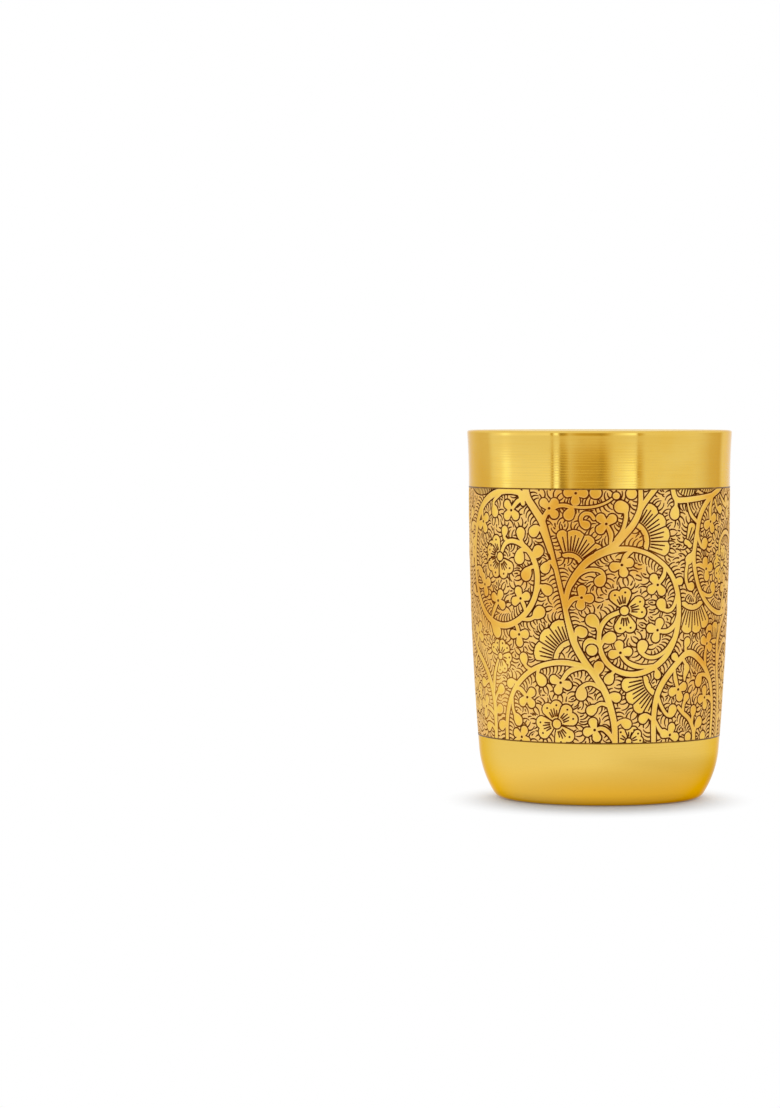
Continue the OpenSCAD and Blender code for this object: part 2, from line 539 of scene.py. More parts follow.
# Stems: half widths along the stem, then the points that it runs through
stems = [
    ([1.05, 1.05, 0.6, 0.6, 0.95, 0.95, 0.9, 0.8], [(-21.6, 90), (-20.6, 85.7), (-18.5, 82.6), (-16.2, 79.3),
        (-14.8, 75.5), (-13.4, 71.2), (-12.1, 66.5), (-10.9, 61.5), (-9.6, 56), (-8.5, 51), (-6.8, 45.5),
        (-4.2, 40.8), (-0.8, 36.2), (1.8, 32), (3.6, 27), (4.6, 22), (4.8, 15)]),
    ([0.7, 1, 0.55, 0.75, 0.85, 0.8, 0.7, 0.6], [(-9.4, 56.5), (-8.3, 61), (-6, 65), (-2.4, 68.7), (2.6, 71),
        (8, 71.6), (12.9, 70.5), (17, 68.2), (20.4, 65), (22.6, 61), (23.6, 56.4), (23.6, 51), (22.3, 46),
        (19.8, 41.9), (16.2, 39), (12, 37.3), (8.2, 37.1), (4.8, 38.2), (2.2, 40.3), (0.6, 43.2), (0, 46.8),
        (0.6, 50.2), (2.6, 52.8), (5.6, 54.2)]),
    ([1, 0.95, 0.8, 0.55], [(-0.5, 70), (3.6, 72.2), (6.6, 75.2), (9.2, 78.2), (10.8, 81.2), (11.4, 84),
        (11.3, 90)]),
    ([0.6, 0.85], [(11, 81.8), (12.8, 84.6), (15.2, 87.6), (17, 90)]),
    ([0.8, 1, 0.9, 0.85, 0.85, 0.8, 0.6], [(-19.6, 84.2), (-22.5, 86.6), (-26.5, 87.4), (-31, 87), (-35.2, 85.6),
        (-38.8, 83.3), (-41.7, 80), (-43.8, 75.6), (-44.8, 70), (-44.4, 63.4), (-42.2, 57.4), (-38.4, 52.9),
        (-33.6, 50.4), (-28.8, 49.9), (-24.4, 51.4), (-20.8, 54.3), (-18.5, 58), (-17.6, 62), (-17.8, 66),
        (-19.4, 69.8), (-22.2, 72.4), (-25.8, 73.5), (-28.6, 72.6), (-30.4, 69.6)]),
    ([0.75, 0.7], [(-22, 84), (-24.6, 90)]),
    ([0.7, 0.8, 0.75, 0.6], [(20.9, 90), (21.4, 86.8), (22.6, 85), (25.4, 84.9), (29.2, 85.2), (33, 85.6),
        (37, 86.2)]),
    ([0.5, 0.55, 0.25], [(30.3, 78.6), (28, 80.4), (26.8, 82.4), (26.3, 84)]),
    ([0.8, 0.7, 0.75, 0.65], [(-2.6, 38.6), (-6, 39.6), (-10, 40.2), (-14.2, 39.8), (-18.6, 38.4), (-22.8, 35.8),
        (-26.5, 32), (-29, 27.2), (-30.2, 22), (-30.5, 15)]),
    ([0.8, 0.9, 0.85, 0.8, 0.8], [(-36.2, 15), (-35.6, 22), (-35.6, 27.4), (-36.5, 31.8), (-38.4, 35.8),
        (-41.2, 39), (-44.6, 41.6), (-47.8, 44.8), (-50.8, 49.8), (-52, 56), (-51.4, 64), (-51, 72), (-52.4, 80),
        (-53.4, 90)]),
    ([0.8, 0.85, 0.7, 0.65, 0.75, 0.75, 0.6], [(45.5, 90), (41, 87.6), (36.6, 85.8), (33.2, 83.1), (31.1, 80),
        (30.2, 76.6), (29.3, 72.4), (28.9, 69), (29.6, 64.8), (31.4, 60.4), (34.2, 56.9), (38.2, 54.2), (43, 53),
        (48, 53.9), (52.2, 56.8), (54.8, 61.2), (55.4, 66.4), (53.8, 71.4), (50.2, 74.8), (45.6, 75.4), (42.2, 73),
        (41.8, 69.6)]),
    ([0.75, 0.9, 0.85, 0.8], [(16.8, 15), (16.4, 24), (16.9, 29.6), (18.3, 33.4), (20.8, 36.8), (24, 40),
        (26.8, 42.2), (29.4, 42.2), (32.6, 40.4), (35.8, 37.8), (38.6, 34.4), (40.4, 30.4), (41.3, 26), (41.5, 21),
        (41.5, 15)]),
    ([0.8, 0.85, 0.8], [(46.8, 15), (46.4, 23.8), (44.8, 31.7), (43, 38.6), (42.6, 45), (44.6, 49.6),
        (48.4, 53.2)]),
    ([0.55, 0.7, 0.75], [(24.8, 27.4), (26.6, 25.8), (29, 24.2), (30.8, 22), (31.8, 19.6), (32, 15)]),
    ([0.3, 0.35, 0.3], [(-9.6, 83.6), (-6.6, 83.1), (-3.6, 83), (-0.6, 83.4), (2, 84.4), (3.8, 85.6)]),
    ([0.7, 0.6, 0.45], [(-35.7, 31.4), (-35, 35.4), (-34, 38), (-32.8, 40.2)]),
    ([0.7, 0.85, 0.8, 0.7], [(43.2, 38), (44.6, 42.2), (47.6, 44.9), (51.6, 44.6), (55.2, 41.4), (57, 36.2),
        (57.2, 30), (56, 24), (55.6, 15)]),
]

# Buds: the half width at the bud, then the points of its curled stalk from the stem to the bud's middle
buds = [
    (1.45, [(-30.5, 86.4), (-33.4, 84.2), (-32.8, 81.4)]), (1.25, [(-27.2, 73.2), (-28.9, 74.4), (-28.7, 76.4)]),
    (1.5, [(-21.4, 71.9), (-22.6, 73.6), (-22.9, 75.9)]),
    (1.55, [(-13.7, 70.6), (-15, 73.9), (-16.3, 76.7), (-17.5, 77.2), (-18.6, 76.2)]),
    (1.65, [(-19, 68.2), (-18.4, 69.4), (-17.2, 70.9)]), (1.4, [(-12.3, 66.4), (-13.6, 68), (-15.2, 66.1)]),
    (1.7, [(-18, 66.5), (-19.8, 66.2), (-21.2, 64.2)]), (1.7, [(-20.8, 71), (-22.8, 71), (-23.4, 68.8)]),
    (1.5, [(-17.7, 59.4), (-16.6, 61.2), (-14.5, 60.1)]),
    (1.5, [(-14.2, 81.4), (-11.8, 83.2), (-9.2, 83.5), (-7.4, 82.6), (-8.3, 80.9)]),
    (1.2, [(-1.4, 80), (-2.4, 81.2), (-3.9, 81.3), (-4.9, 80.2), (-4.7, 78.8), (-3.6, 78.2)]),
    (1.75, [(4.6, 74.2), (6.2, 76.4), (7.1, 79), (7.3, 81.2), (6.8, 82.8), (5.8, 83.2)]),
    (1.15, [(22.2, 61.2), (22.9, 62.4), (23.8, 62.5)]), (1.6, [(22, 85.8), (22.2, 83.6), (21.8, 81.1)]),
    (1.25, [(26.4, 67.2), (26, 64.6), (26.2, 62.4), (27, 61), (28.1, 60.9)]),
    (1.4, [(32.4, 59.2), (35, 58.2), (37.4, 58.2), (38.6, 59.2), (38.1, 60.5)]),
    (1.5, [(23, 59), (22.4, 56.6), (21.3, 54.9), (19.8, 54.4), (18.4, 55.1), (17.8, 56.4)]),
    (1.75, [(-23.4, 52), (-20, 52), (-17, 54)]), (1.4, [(-20, 37.8), (-22, 39), (-22.6, 41.2)]),
    (1.35, [(-25, 33.8), (-26.6, 34.4), (-28, 33.8)]), (1.45, [(-35.6, 28), (-34, 30.6), (-31.9, 32)]),
    (1.65, [(-17.4, 38.8), (-18, 36.8), (-16.8, 35)]), (1.55, [(-27.4, 30.6), (-27.2, 26.4), (-25.4, 23.6)]),
    (1.65, [(1.6, 32.4), (-2, 34.4), (-4.6, 33.6), (-5, 31.4)]), (1.4, [(-35.6, 24), (-34.6, 25.6), (-33, 26.4)]),
    (1.45, [(-30.2, 20.6), (-31.2, 22.4), (-32.6, 21.8)]), (1.65, [(0.2, 44.4), (1.4, 46.4), (3.2, 47.2)]),
    (1.6, [(22.4, 47), (19.8, 43.6), (16.8, 41.8), (14.2, 41.7), (12.2, 43), (12.4, 44.9)]),
    (1.15, [(25.2, 40.8), (24, 40.5), (22.7, 41.6)]), (1.15, [(25.6, 41), (26.7, 39.7), (27.4, 38.2)]),
    (1.3, [(30.6, 22.4), (30.8, 24.4), (31, 26.4)]), (1.55, [(31.9, 19.6), (32.6, 21.6), (34, 22.9)]),
    (1.1, [(26.6, 26.2), (26.8, 28.2), (27.8, 30.2)]), (1.5, [(-0.4, 35.8), (-0.4, 37.4), (0, 39.2)]),
    (1.4, [(4.6, 38.2), (3.6, 37), (2.8, 35.6)]), (1.4, [(2.4, 30.4), (3.6, 31.2), (5, 30.6)]),
    (1.5, [(17.4, 31), (18.6, 28.2), (20.4, 25.8), (22, 25.3), (22.7, 26.8)]),
    (1.2, [(27.4, 42), (26.6, 43.8), (27.2, 45.6)]),
    (1.6, [(38.4, 34.2), (36.6, 35.6), (34.8, 36.1), (33.2, 35.8), (32.7, 34.3)]),
    (1.55, [(-5.9, 43.4), (-6.5, 45.6), (-6.5, 47.8), (-5.7, 49.1), (-4.7, 48.6)]),
    (1.75, [(0.2, 48.2), (-0.6, 50.6), (-2, 52)]),
    (1.5, [(-7.6, 61.6), (-5.4, 64.6), (-2.6, 65.9), (0.2, 65.6), (1.2, 64.2), (0.2, 62.7)]),
    (1.35, [(29.2, 71), (28.2, 70), (27, 68.4)]),
    (1.4, [(30.2, 75.8), (30.9, 73.6), (32, 72), (33.2, 71.8), (33.5, 72.9)]),
    (1.4, [(44, 53.2), (45.6, 55), (47.4, 55.6)]), (1.4, [(54.4, 60.2), (52.4, 61), (51, 60.2)]),
    (1.4, [(55.4, 67), (57.4, 68), (58.4, 70)]), (1.5, [(53.6, 71.6), (55.6, 73.6), (55, 76)]),
    (1.3, [(38.6, 84.6), (40, 82.4), (42, 82)]), (1.4, [(-44.6, 65), (-42.4, 65.6), (-41, 64.4)]),
    (1.4, [(-43.2, 77), (-45.6, 78), (-47.4, 77)]), (1.4, [(-44.6, 68), (-47, 68.8), (-48, 67)]),
    (1.4, [(-42.6, 58.2), (-45, 58), (-46.6, 59.4)]), (1.5, [(-51.8, 58), (-54, 59.6), (-55.6, 58.8)]),
    (1.5, [(-51, 70), (-53, 71.6), (-54.6, 70.8)]), (1.5, [(-51.4, 76), (-49.4, 78.6), (-47.4, 81)]),
    (1.4, [(-45, 41.6), (-47, 40.4), (-48.4, 38.6)]), (1.4, [(-37.8, 34.4), (-40, 33.4), (-41.8, 33.4)]),
    (1.4, [(-35.8, 20), (-38, 21.6), (-40, 21)]), (1.4, [(46.5, 22), (48.4, 24), (50.2, 23.6)]),
    (1.4, [(57, 34), (59, 35.6), (60.6, 35)]), (1.4, [(56.4, 26), (58.6, 27), (60, 26)]),
    (1.4, [(16.4, 24), (14.4, 25.4), (13, 24.6)]), (1.4, [(4.5, 22.6), (6.6, 24), (8.2, 23.2)]),
    (1.4, [(3.4, 28), (0.6, 28.9), (-2.2, 27)]), (1.1, [(15.6, 39), (16.8, 37.9), (17.2, 36.6)]),
    (1.75, [(-35.8, 51.2), (-34.6, 49.2), (-32.8, 48)]),
]

# Drops, which swell along the whole stalk, given in the same way
drops = [
    (0.95, [(26.7, 35), (26.7, 36), (27, 37), (27.3, 38)]),
    (0.45, [(0.8, 43.2), (-0.4, 45.4), (-2.2, 46.3), (-3.6, 45.4), (-3.9, 43.8)]),
]

# Trefoils: middle, direction of the middle petal in degrees, and the points of the stalk before the middle
trefoils = [
    (-26.2, 82, 225, [(-20.8, 85), (-23.6, 84.6)]), (-13.9, 82.7, 45, [(-15.4, 77.6), (-15.4, 80)]),
    (-32, 56.7, 60, [(-35.4, 51.4), (-34, 54)]), (-23.2, 57.6, 110, [(-21.6, 53.6), (-22, 55.6)]),
    (-4.8, 58.2, -5, [(-9.2, 54.6), (-7.4, 57.6)]), (16.6, 61.6, 215, [(18.6, 67), (18.6, 64.4)]),
    (6.2, 67.2, 285, [(9.6, 71.4), (7.4, 69.8)]), (-11, 34.6, 250, [(-2.8, 39), (-8, 38)]),
    (-21.8, 30.2, 310, [(-26.4, 32.2), (-24.2, 32.4)]),
    (16.8, 49.1, 165, [(23.4, 53.6), (22.4, 50.6), (20.4, 48.9), (18.4, 48.7)]),
    (6, 43, 100, [(16, 39.4), (12, 39), (8.8, 39.9), (7, 41.4)]), (24.4, 32.4, 288, [(22.8, 38.6), (23.2, 35.6)]),
    (22.1, 19.8, 75, [(17, 24), (18.5, 21.4), (20.2, 20.2)]), (36, 44.7, 60, [(36.2, 37.6), (35.4, 41)]),
    (36.2, 29.6, 190, [(41, 27.4), (39, 29.4)]), (-24.4, 19, 60, [(-28.6, 15), (-27, 17.6)]),
    (46.6, 60.4, 100, [(45, 53.2), (45.2, 57)]), (34.4, 65.6, 12, [(29.4, 66.6), (31.6, 66.8)]),
    (50.4, 39.4, 250, [(52.6, 44), (52.2, 41.6)]), (-38.6, 61, 20, [(-43.6, 61), (-41, 60.4)]),
    (-38.9, 78.6, 300, [(-38.2, 83.8), (-39.5, 81.6)]), (-43.6, 47.2, 60, [(-46.4, 43.4), (-45, 45.2)]),
    (-47.6, 72, 20, [(-51, 69), (-49.8, 71.4)]), (47.8, 82.6, 20, [(41.6, 86.2), (44.6, 83.8)]),
    (-41, 26.6, 160, [(-35.6, 24), (-38, 26)]), (36.2, 78.7, 297, [(37.2, 85.4), (36, 82.4)]),
    (1.9, 78.5, 133, [(3, 72.8), (3.2, 75.6)]), (-24, 47.6, 272, [(-25.6, 51), (-24.6, 49.6)]),
    (-6.4, 86.9, 268, [(-6.4, 90), (-6.4, 88.6)]), (-1.2, 21.6, 195, [(4.8, 17.6), (3, 20.6), (1, 22)]),
    (-55.6, 22.8, 120, [(-58, 15), (-57, 19)]),
]

# Berries that lie free under a curled stalk: middle and radius
berries = [
    (-2, 43.7, 1.55), (8.8, 86.8, 1.5), (-1, 87, 1.6), (4.6, 86.2, 0.95), (29.2, 18.9, 1.3), (36.4, 18.7, 1.5),
]

# Flowers of heart-shaped petals: middle, petal length, and the directions of the petals in degrees
flowers = [
    (7, 54.6, 6.3, (105, 12, 274)), (-12.4, 23.1, 6.5, (107, 34, 194, 300)), (-30.8, 69, 6.2, (126, 176, 228, 304)),
    (-31.8, 41.2, 4.8, (125, 55, 340, 280)), (44, 66.6, 5.6, (20, 88, 160, 230, 305)),
    (49.6, 32.6, 5.4, (100, 28, 190, 320, 250)), (-48.6, 29.6, 5.4, (80, 10, 150, 225, 300)),
    (57.2, 50.6, 4.4, (60, 130, 0, 200, 290)), (8.8, 18.4, 4.4, (80, 20, 150)),
    (56.4, 83, 4.8, (250, 320, 180, 40, 110)),
]

# Fans: the point that the ribs spread from, the radii of the collar's two lines and of the edge,
# and the directions in degrees between which the lobes lie
fans = [
    (-8.2, 66.3, 3.3, 4.4, 10.6, (20, 44, 65, 93, 111)), (8, 73.6, 4.9, 6.1, 12.3, (-20, 0, 21, 42, 65)),
    (-6.8, 40.4, 5.3, 6.4, 12.5, (104, 128, 152, 178)), (19.4, 36.6, 5.6, 6.8, 13.2, (184, 202, 220, 238, 256)),
    (28.8, 60.6, 5.2, 6.4, 12.8, (230, 250, 270, 290, 310)), (25.6, 71.4, 1.2, 2.7, 7.6, (32, 56, 80)),
    (-47.4, 43, 5.2, 6.4, 11.4, (118, 145, 172, 200)), (40.4, 39.4, 5.6, 6.6, 11.2, (60, 80, 100, 120)),
    (-51.4, 76, 5.6, 6.6, 11.4, (98, 121, 145, 168)),
]

# Leaves with rungs: the two tips, and how far the belly hangs from the line between them
leaves = [
    (-46.6, 88, -33.4, 88, -1.9), (30.4, 88.2, 40, 88.4, -1.5), (22.4, 88.2, 29.6, 87.6, -1.9),
]

# Patches where the brass has deepened: middle, size and strength
tarnish = [
    (-6.5, 74, 9, 0.75), (-3, 85.5, 7, 0.6), (-4.4, 58.4, 4.5, 0.6), (10.6, 66.2, 2.2, 0.8), (11, 74.4, 3, 0.6),
    (-38, 61, 9, 0.7), (-12, 62, 6, 0.35), (33.5, 64, 7, 0.6), (34, 77, 6, 0.5), (33, 38, 6, 0.5),
    (0.2, 39.2, 2.2, 0.5), (-12.5, 26, 5, 0.4), (-22, 63.8, 3, 0.6), (-12, 86, 5.5, 0.9), (-11.5, 79, 5, 0.7),
    (-10.5, 68, 4.5, 0.5), (-11, 59, 5.5, 0.6), (-36, 52, 8, 0.5), (42, 42, 8, 0.5), (4, 73, 8, 0.35),
    (3, 63, 7, 0.4), (9, 82, 7, 0.35), (35, 50, 9, 0.5), (35, 29, 9, 0.45), (36, 86, 6, 0.4),
]

# Patches where the lac has worn thin, in the same way
wear = [
    (-31, 34, 12, 0.75), (-38, 26, 9, 0.6), (-41, 48, 9, 0.6), (-46, 75, 8, 0.4), (7, 73, 4.5, 0.4),
    (17, 69, 4, 0.35), (24, 50, 5, 0.25),
]


def smoothPath(points, step):
    # Catmull-Rom spline through the points, sampled about every step
    p = np.array(points, float)
    p = np.vstack([2 * p[0] - p[1], p, 2 * p[-1] - p[-2]])
    parts = []
    for a, b, c, d in zip(p[:-3], p[1:-2], p[2:-1], p[3:]):
        n = max(2, int(np.ceil(np.linalg.norm(c - b) / step)))
        t = np.arange(n)[:, None] / n
        bend = (2 * a - 5 * b + 4 * c - d) * t**2 + (3 * b - a - 3 * c + d) * t**3
        parts.append(0.5 * (2 * b + (c - a) * t + bend))
    return np.vstack(parts + [p[-2:-1]])


def lengthAlong(path):
    # Length from the start of a path to each of its points
    return np.concatenate([[0], np.cumsum(np.linalg.norm(np.diff(path, axis=0), axis=1))])


def blade(points, halfWidths, step=0.7):
    # A path with its half width and the length so far, as columns u, z, half width, length
    path = smoothPath(points, step)
    length = lengthAlong(path)
    width = np.interp(length / length[-1], np.linspace(0, 1, len(halfWidths)), halfWidths)
    return np.column_stack([path, width, length])


def dot(u, z, size):
    # A blade so short that it is round
    return blade([(u, z), (u + 0.05, z)], [size, size])


def budBlade(size, points):
    # A ball at the end of a thin stalk: the half width swells over the last stretch, as long as the ball's radius
    path = blade(points, [0.5, 0.55], 0.35)
    left = path[-1, 3] - path[:, 3]
    ball = np.interp(left, [0, 0.45 * size, 1.15 * size, 1.9 * size], [size, 0.86 * size, 0.42 * size, 0.3])
    path[:, 2] = np.maximum(path[:, 2], ball)
    return path


def polar(u, z, radius, degrees):
    # The point at a radius and a direction from another point
    a = np.radians(degrees)
    return (u + radius * np.cos(a), z + radius * np.sin(a))


def soft(x, width):
    # Smooth step from 0 to 1 as x goes from minus width to plus width
    t = np.clip(0.5 + 0.5 * x / width, 0, 1)
    return t * t * (3 - 2 * t)


def wander(u, z, period, seed):
    # Smooth wandering of about minus 1 to 1: four sines that close round the panel
    k = 2 * np.pi / period
    return (np.sin(5 * k * u + 0.31 * z + seed) + np.sin(-9 * k * u + 0.23 * z + 2.1 * seed)
            + np.sin(13 * k * u - 0.47 * z + 3.3 * seed) + np.sin(3 * k * u + 0.67 * z + 4.7 * seed)) / 2.6


class Panel:
    # Grid of the unrolled panel, with the signed distance from each cell to the nearest motif's edge
    def __init__(self, o):
        self.o = o
        self.cell = o["panelLength"] / o["columns"]
        self.u = (np.arange(o["columns"]) - o["columns"] / 2) * self.cell
        self.z = np.linspace(o["lowZ"], o["highZ"], o["rows"])
        self.step = self.z[1] - self.z[0]
        self.shape = (o["rows"], o["columns"])
        self.gap = np.full(self.shape, o["far"])

    def window(self, low, high):
        # Rows and columns of the cells between two corners
        firstColumn = int(np.floor((low[0] - self.u[0]) / self.cell))
        lastColumn = int(np.ceil((high[0] - self.u[0]) / self.cell))
        first = max(0, int(np.floor((low[1] - self.z[0]) / self.step)))
        last = min(len(self.z), int(np.ceil((high[1] - self.z[0]) / self.step)) + 1)
        return np.arange(first, max(first, last)), np.arange(firstColumn, lastColumn + 1)

    def cells(self, q):
        # Row and column of the cell nearest to each point
        i = np.clip(np.round((q[..., 1] - self.z[0]) / self.step).astype(int), 0, self.shape[0] - 1)
        return i, np.round((q[..., 0] - self.u[0]) / self.cell).astype(int) % self.shape[1]

    def mark(self, field, i, j, radius):
        # Sets the cells within a radius of the given ones
        near = np.arange(-int(radius / self.cell), int(radius / self.cell) + 1)
        down, across = [side.ravel() for side in np.meshgrid(near, near)]
        inside = np.hypot(down, across) * self.cell <= radius
        i = np.clip(i[:, None] + down[inside], 0, self.shape[0] - 1)
        field[i, (j[:, None] + across[inside]) % self.shape[1]] = True

    def distance(self, blades, reach=0.6):
        # Distance to each short straight run of each blade, less the blade's half width there; the nearest counts
        gap = np.full(self.shape, self.o["far"])
        for path in blades:
            for (u0, z0, r0), (u1, z1, r1) in zip(path[:-1, :3], path[1:, :3]):
                room = reach + max(r0, r1)
                low, high = (min(u0, u1) - room, min(z0, z1) - room), (max(u0, u1) + room, max(z0, z1) + room)
                rows, columns = self.window(low, high)
                if not len(rows):
                    continue
                pu = (self.u[0] + columns * self.cell)[None, :] - u0
                pz = self.z[rows][:, None] - z0
                du, dz = u1 - u0, z1 - z0
                size = max(np.hypot(du, dz), 1e-6)
                ahead, aside = (pu * du + pz * dz) / size, (pz * du - pu * dz) / size
                t = np.clip(ahead / size, 0, 1)
                d = np.hypot(ahead - t * size, aside) - (r0 + (r1 - r0) * t)
                spot = np.ix_(rows, columns % self.shape[1])
                gap[spot] = np.minimum(gap[spot], d)
        return gap

    def lay(self, blades):
        # A layer on top of the ones before it: inside it and on its outline only this layer counts
        gap = self.distance(blades, self.o["spread"])
        self.gap = np.where((gap < self.o["outline"]) | (gap < self.gap), gap, self.gap)


def fanArc(u, z, radius, bounds, beyond, half):
    # An arc about the fan's point, going some degrees beyond the lobes
    turns = np.linspace(bounds[0] - beyond, bounds[-1] + beyond, 9)
    return blade([polar(u, z, radius, a) for a in turns], [half, half])


def fanBlades(u, z, r0, r1, edge, bounds):
    # Narrow blades side by side from the collar to the edge, shorter towards the bounds of each lobe, and the collar
    widest, share, scallop, collarTrim, collarExtra = 1.1, 0.3, 0.03, 2, 0.15
    made = []
    for a0, a1 in zip(bounds[:-1], bounds[1:]):
        half = min(widest, np.radians(a1 - a0) * edge * share)
        inset = np.degrees(half / edge)
        for t in np.linspace(-1, 1, 5):
            a = (a0 + a1) / 2 + t * ((a1 - a0) / 2 - inset)
            tip = polar(u, z, edge * (1 - scallop * abs(t)**3) - half, a)
            made.append(blade([polar(u, z, r0, a), tip], [half * r0 / edge, half]))
    return made + [fanArc(u, z, (r0 + r1) / 2, bounds, -collarTrim, (r1 - r0) / 2 + collarExtra)]


def fanCuts(u, z, r0, r1, edge, bounds):
    # Ribs outside the collar, about a millimetre apart, the longest ones between the lobes, and the collar's outer arc
    gap, longest, ends, halves, arcHalf = 0.5, 0.95, (0.86, 0.82), (0.22, 0.17), 0.18
    ribs = []
    for a0, a1 in zip(bounds[:-1], bounds[1:]):
        count = max(2, int(round(np.radians(a1 - a0) * (r1 + edge) / 2)))
        for n in range(count):
            a, end = a0 + n * (a1 - a0) / count, edge * (ends[n % 2] if n else longest)
            if a > bounds[0]:
                ribs.append(blade([polar(u, z, r1 + gap, a), polar(u, z, end, a)], halves))
    return ribs + [fanArc(u, z, r1, bounds, 1, arcHalf)]


petalTurn = 17  # degrees from a petal's middle to the middle of each lobe


def petalBlades(u, z, size, a):
    # A heart: two lobes that start together at the flower's middle
    root, lobe, halves = 0.16, 0.73, (0.07, 0.19, 0.27)
    return [blade([polar(u, z, size * root, a), polar(u, z, size * lobe, a + turn)], [size * half for half in halves])
            for turn in (-petalTurn, petalTurn)]


def petalCuts(u, z, size, a):
    # Short lines from the flower's middle, four on a large petal and two on a small one, and a dot in each lobe
    large, start, inner, outer, lean, halves, dotAt, dotHalf = 5.8, 0.34, 0.66, 0.58, 0.9, (0.2, 0.16), 0.80, 0.27
    rays = ((-20, outer), (-7, inner), (7, inner), (20, outer)) if size > large else ((-11, outer), (11, outer))
    cuts = [blade([polar(u, z, size * start, a + turn), polar(u, z, size * end, a + turn * lean)], halves)
            for turn, end in rays]
    return cuts + [dot(*polar(u, z, size * dotAt, a + turn), dotHalf) for turn in (-petalTurn, petalTurn)]


def trefoilBlades(u, z, a, stalk):
    # Three round petals about the middle, on a stalk that swells a little along its length
    reach, halves, stalkHalves = 2.15, (0.6, 1.3), (0.3, 0.7, 0.5)
    petals = [blade([(u, z), polar(u, z, reach, a + turn)], halves) for turn in (-92, 0, 92)]
    return [blade(stalk + [(u, z)], stalkHalves)] + petals


def leafPoint(u0, z0, u1, z1, sag, t, deep):
    # A point t of the way between the tips, hanging by a share of the belly, which is a parabola
    tip, span = np.array([u0, z0]), np.array([u1 - u0, z1 - z0])
    side = np.array([-span[1], span[0]]) / np.hypot(*span)
    return tip + span * t + side * sag * deep * 4 * t * (1 - t)


def leafBlade(*leaf):
    # A blade along the middle of the leaf, half of the belly wide on each side
    half = abs(leaf[4]) / 2
    return blade([leafPoint(*leaf, t, 0.5) for t in np.linspace(0, 1, 7)], [0.1, 0.8 * half, half, 0.8 * half, 0.1])


def leafCuts(*leaf):
    # Rungs that lean across the leaf
    apart, lean, halves = 0.95, 0.05, (0.24, 0.18)
    steps = np.arange(0.1, 0.9, apart / np.hypot(leaf[2] - leaf[0], leaf[3] - leaf[1]))
    return [blade([leafPoint(*leaf, t + lean, 0.05), leafPoint(*leaf, t, 0.95)], halves) for t in steps]


def rail(path, offset):
    # The line that runs round a blade at a distance from its edge: out along one side, round the end, and back
    along = np.gradient(path[:, :2], axis=0)
    along /= np.linalg.norm(along, axis=1)[:, None]
    side = np.column_stack([-along[:, 1], along[:, 0]]) * (path[:, 2:3] + offset)
    a = np.arctan2(along[-1, 1], along[-1, 0]) + np.linspace(np.pi / 2, -np.pi / 2, 13)[1:-1]
    end = path[-1, :2] + np.column_stack([np.cos(a), np.sin(a)]) * (path[-1, 2] + offset)
    return np.vstack([path[:, :2] + side, end, (path[:, :2] - side)[::-1]])


def hatchStarts(panel, blades, o, h):
    # Rounds of places where strokes start, with the side that each bends to: rows of rails, and then the lattice
    rounds = []
    end = o["panelLength"] / 2
    for row in range(h["rows"]):
        base = o["outline"] + h["railGap"] + row * h["rowStep"]
        starts, turns = [], []
        for path in blades:
            line = rail(path, base)
            length = lengthAlong(line)
            at = np.arange(0.5 * (row % 2) * h["pitch"], length[-1], h["pitch"])
            starts.append(np.column_stack([np.interp(at, length, line[:, 0]), np.interp(at, length, line[:, 1])]))
            turns.append(np.where(at < length[-1] / 2, -1.0, 1.0))
        p, turn = np.vstack(starts), np.concatenate(turns)
        onPanel = (p[:, 1] > o["lowZ"]) & (p[:, 1] < o["highZ"]) & (np.abs(p[:, 0]) <= end)
        keep = onPanel & (np.abs(panel.gap[panel.cells(p)] - base) < h["railSlack"])
        rounds.append((p[keep], turn[keep]))
    low = o["lowZ"] + h["latticeGap"]
    spread, lift = np.meshgrid(np.arange(-end, end, h["lattice"]), np.arange(low, o["highZ"], h["lattice"]))
    p = np.column_stack([spread.ravel(), lift.ravel()])
    p = p[panel.gap[panel.cells(p)] > o["outline"] + h["latticeGap"]]
    turn = np.where(wander(p[:, 0], p[:, 1], o["panelLength"], h["turnSeed"]) > 0, 1.0, -1.0)
    return rounds + [(p, turn)]


def hatchStrokes(panel, blades, o, h):
    # Short curled strokes: each starts square to the nearest motif and bends aside as an arc,
    # and stops at the next motif or where an earlier stroke lies
    slopeZ, slopeU = np.gradient(panel.gap, panel.step, panel.cell)
    taken, begun = np.zeros(panel.shape, bool), np.zeros(panel.shape, bool)
    curl = np.radians(h["curl"] * np.arange(h["steps"]) / (h["steps"] - 1))
    strokes = []
    for p, turn in hatchStarts(panel, blades, o, h):
        here = panel.cells(p)
        heading = np.arctan2(slopeZ[here], slopeU[here])
        vary = h["vary"] * wander(p[:, 0], p[:, 1], o["panelLength"], h["varySeed"])
        step = h["rowStep"] * (h["reach"] + vary) / h["steps"]
        bold = h["half"] * (1 + h["bolder"] * np.interp(p[:, 0], h["bolderAt"], (0, 1, 1, 0)))
        way = heading[:, None] + turn[:, None] * curl[None, :] * (1 + vary[:, None])
        moves = np.stack([np.cos(way), np.sin(way)], -1) * step[:, None, None]
        trails = np.concatenate([p[:, None, :], p[:, None, :] + np.cumsum(moves, 1)], 1)
        free = panel.gap[panel.cells(trails)] > o["outline"] + h["endGap"]
        free[:, :2] = True  # beside the motif that it starts from
        for trail, clear, half in zip(trails, free, bold):
            i, j = panel.cells(trail)
            good = clear & ~taken[i, j]
            n = len(good) if good.all() else int(np.argmin(good))
            if n < h["fewest"] or begun[i[0], j[0]]:
                continue
            panel.mark(taken, i[:n], j[:n], h["clear"])
            panel.mark(begun, i[:1], j[:1], h["startClear"] * h["pitch"])
            width = half * (h["taper"][0] - h["taper"][1] * np.arange(n) / (n - 1))
            strokes.append(np.column_stack([trail[:n], width]))
    return strokes


